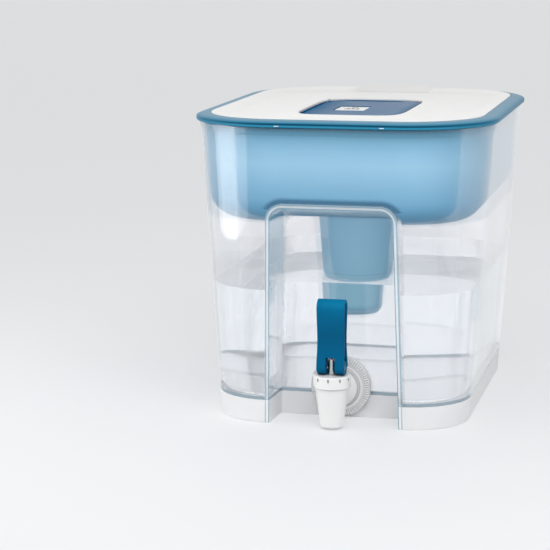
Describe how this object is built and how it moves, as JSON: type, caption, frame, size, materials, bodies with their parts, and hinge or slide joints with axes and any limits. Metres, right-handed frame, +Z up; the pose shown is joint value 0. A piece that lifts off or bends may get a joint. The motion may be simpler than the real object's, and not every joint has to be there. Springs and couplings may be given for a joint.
{
  "type": "fridge water jug with tap",
  "caption": "Clear fridge water tank with a lever tap in a front alcove, a lift-out blue filter funnel and cartridge, and a white lid with a filling flap.",
  "frame": {"origin": "middle of the footprint, on the surface that the jug stands on", "axes": "+Z up, -Y is the front with the tap, +X is to the viewer's right when facing the tap"},
  "size_m": [0.214, 0.276, 0.2166],
  "materials": {
    "clear_plastic": "clear, polished",
    "blue_plastic": "translucent blue, polished",
    "deep_blue_plastic": "satin",
    "white_plastic": "satin white",
    "silicone": "matt grey",
    "steel": "brushed",
    "mesh": "fine mesh",
    "granules": "dark granules",
    "board": "circuit board",
    "display": "display panel",
    "window": "clear window"
  },
  "bodies": {
    "tank_body": {"tank": "clear_plastic", "tap_body": "white_plastic", "tap_bonnet": "white_plastic", "tap_collar": "white_plastic", "tap_gasket_outer": "silicone", "tap_gasket_inner": "silicone", "tap_lock_nut": "white_plastic", "tap_spring": "steel"},
    "valve": {"tap_stem": "steel", "valve_seat_cup": "silicone", "lever_pin": "steel"},
    "lever_body": {"lever": "deep_blue_plastic"},
    "funnel_body": {"funnel": "blue_plastic"},
    "cartridge": {"cartridge_body": "white_plastic", "cartridge_cap": "white_plastic", "cartridge_mesh": "mesh", "cartridge_seal": "silicone", "filter_media": "granules"},
    "lid_body": {"lid": "white_plastic"},
    "flap_body": {"flap": "deep_blue_plastic", "gauge_housing": "white_plastic", "gauge_board": "board", "gauge_battery": "steel", "gauge_display": "display", "gauge_window": "window"},
    "button": {"gauge_button": "silicone"}
  },
  "joints": [
    {"name": "stem_lift", "type": "slide", "parent": "tank_body", "child": "valve", "axis": [0, 0, 1], "range_m": [0, 0.0029], "deforming": ["tap_spring"]},
    {"name": "lever_tilt", "type": "hinge", "parent": "valve", "child": "lever_body", "pos_m": [0, -0.1248, 0.0427], "axis": [1, 0, 0], "range_deg": [0, 80], "stiffness_Nm_per_rad": 0.05, "springref_deg": -17.19},
    {"name": "funnel_lift", "type": "slide", "parent": "tank_body", "child": "funnel_body", "axis": [0, 0, 1], "range_m": [0, 0.16]},
    {"name": "cartridge_lift", "type": "slide", "parent": "funnel_body", "child": "cartridge", "axis": [0, 0, 1], "range_m": [0, 0.025]},
    {"name": "lid_lift", "type": "slide", "parent": "funnel_body", "child": "lid_body", "axis": [0, 0, 1], "range_m": [0, 0.06]},
    {"name": "flap_hinge", "type": "hinge", "parent": "lid_body", "child": "flap_body", "pos_m": [0, 0.0325, 0.2109], "axis": [-1, 0, 0], "range_deg": [0, 100]},
    {"name": "button_press", "type": "slide", "parent": "flap_body", "child": "button", "axis": [0, 0, -1], "range_m": [0, 0.0005], "stiffness_N_per_m": 600}
  ],
  "couplings": [
    {"joint": "stem_lift", "follows": "lever_tilt", "m_per_rad": 0.00205}
  ]
}
